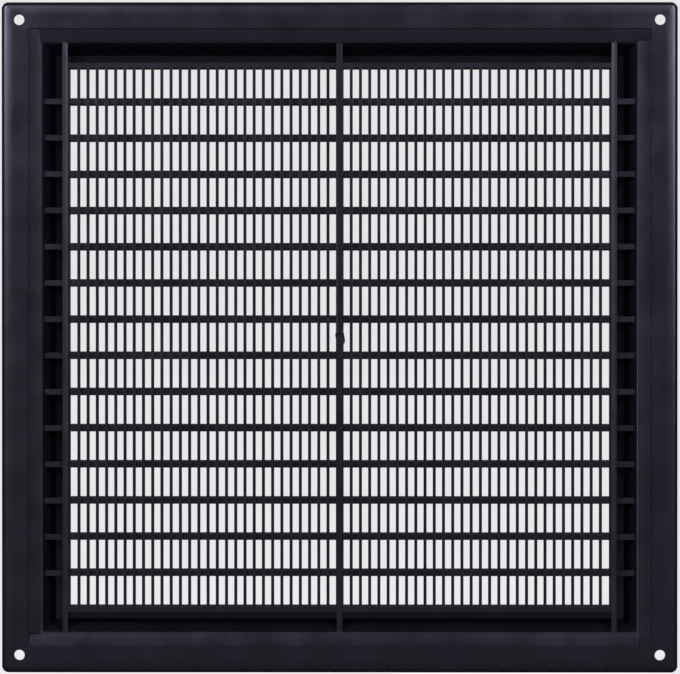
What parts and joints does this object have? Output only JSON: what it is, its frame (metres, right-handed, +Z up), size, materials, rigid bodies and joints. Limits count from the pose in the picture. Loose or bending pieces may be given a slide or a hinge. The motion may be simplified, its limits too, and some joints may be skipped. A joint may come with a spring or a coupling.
{
  "type": "ventilation grille",
  "caption": "Square louvred wall ventilation grille in black moulded plastic, with a hollow raised border, a fine insect screen behind its slats and corner screw holes.",
  "frame": {"origin": "centre of the screw pattern, in the plane where the flange meets the wall", "axes": "+Z up, +Y into the wall, -Y towards the room, +X across the grille"},
  "size_m": [0.25, 0.012, 0.248],
  "materials": {
    "black_plastic": "satin moulded black"
  },
  "bodies": {
    "root": {"grille": "black_plastic"}
  },
  "joints": []
}
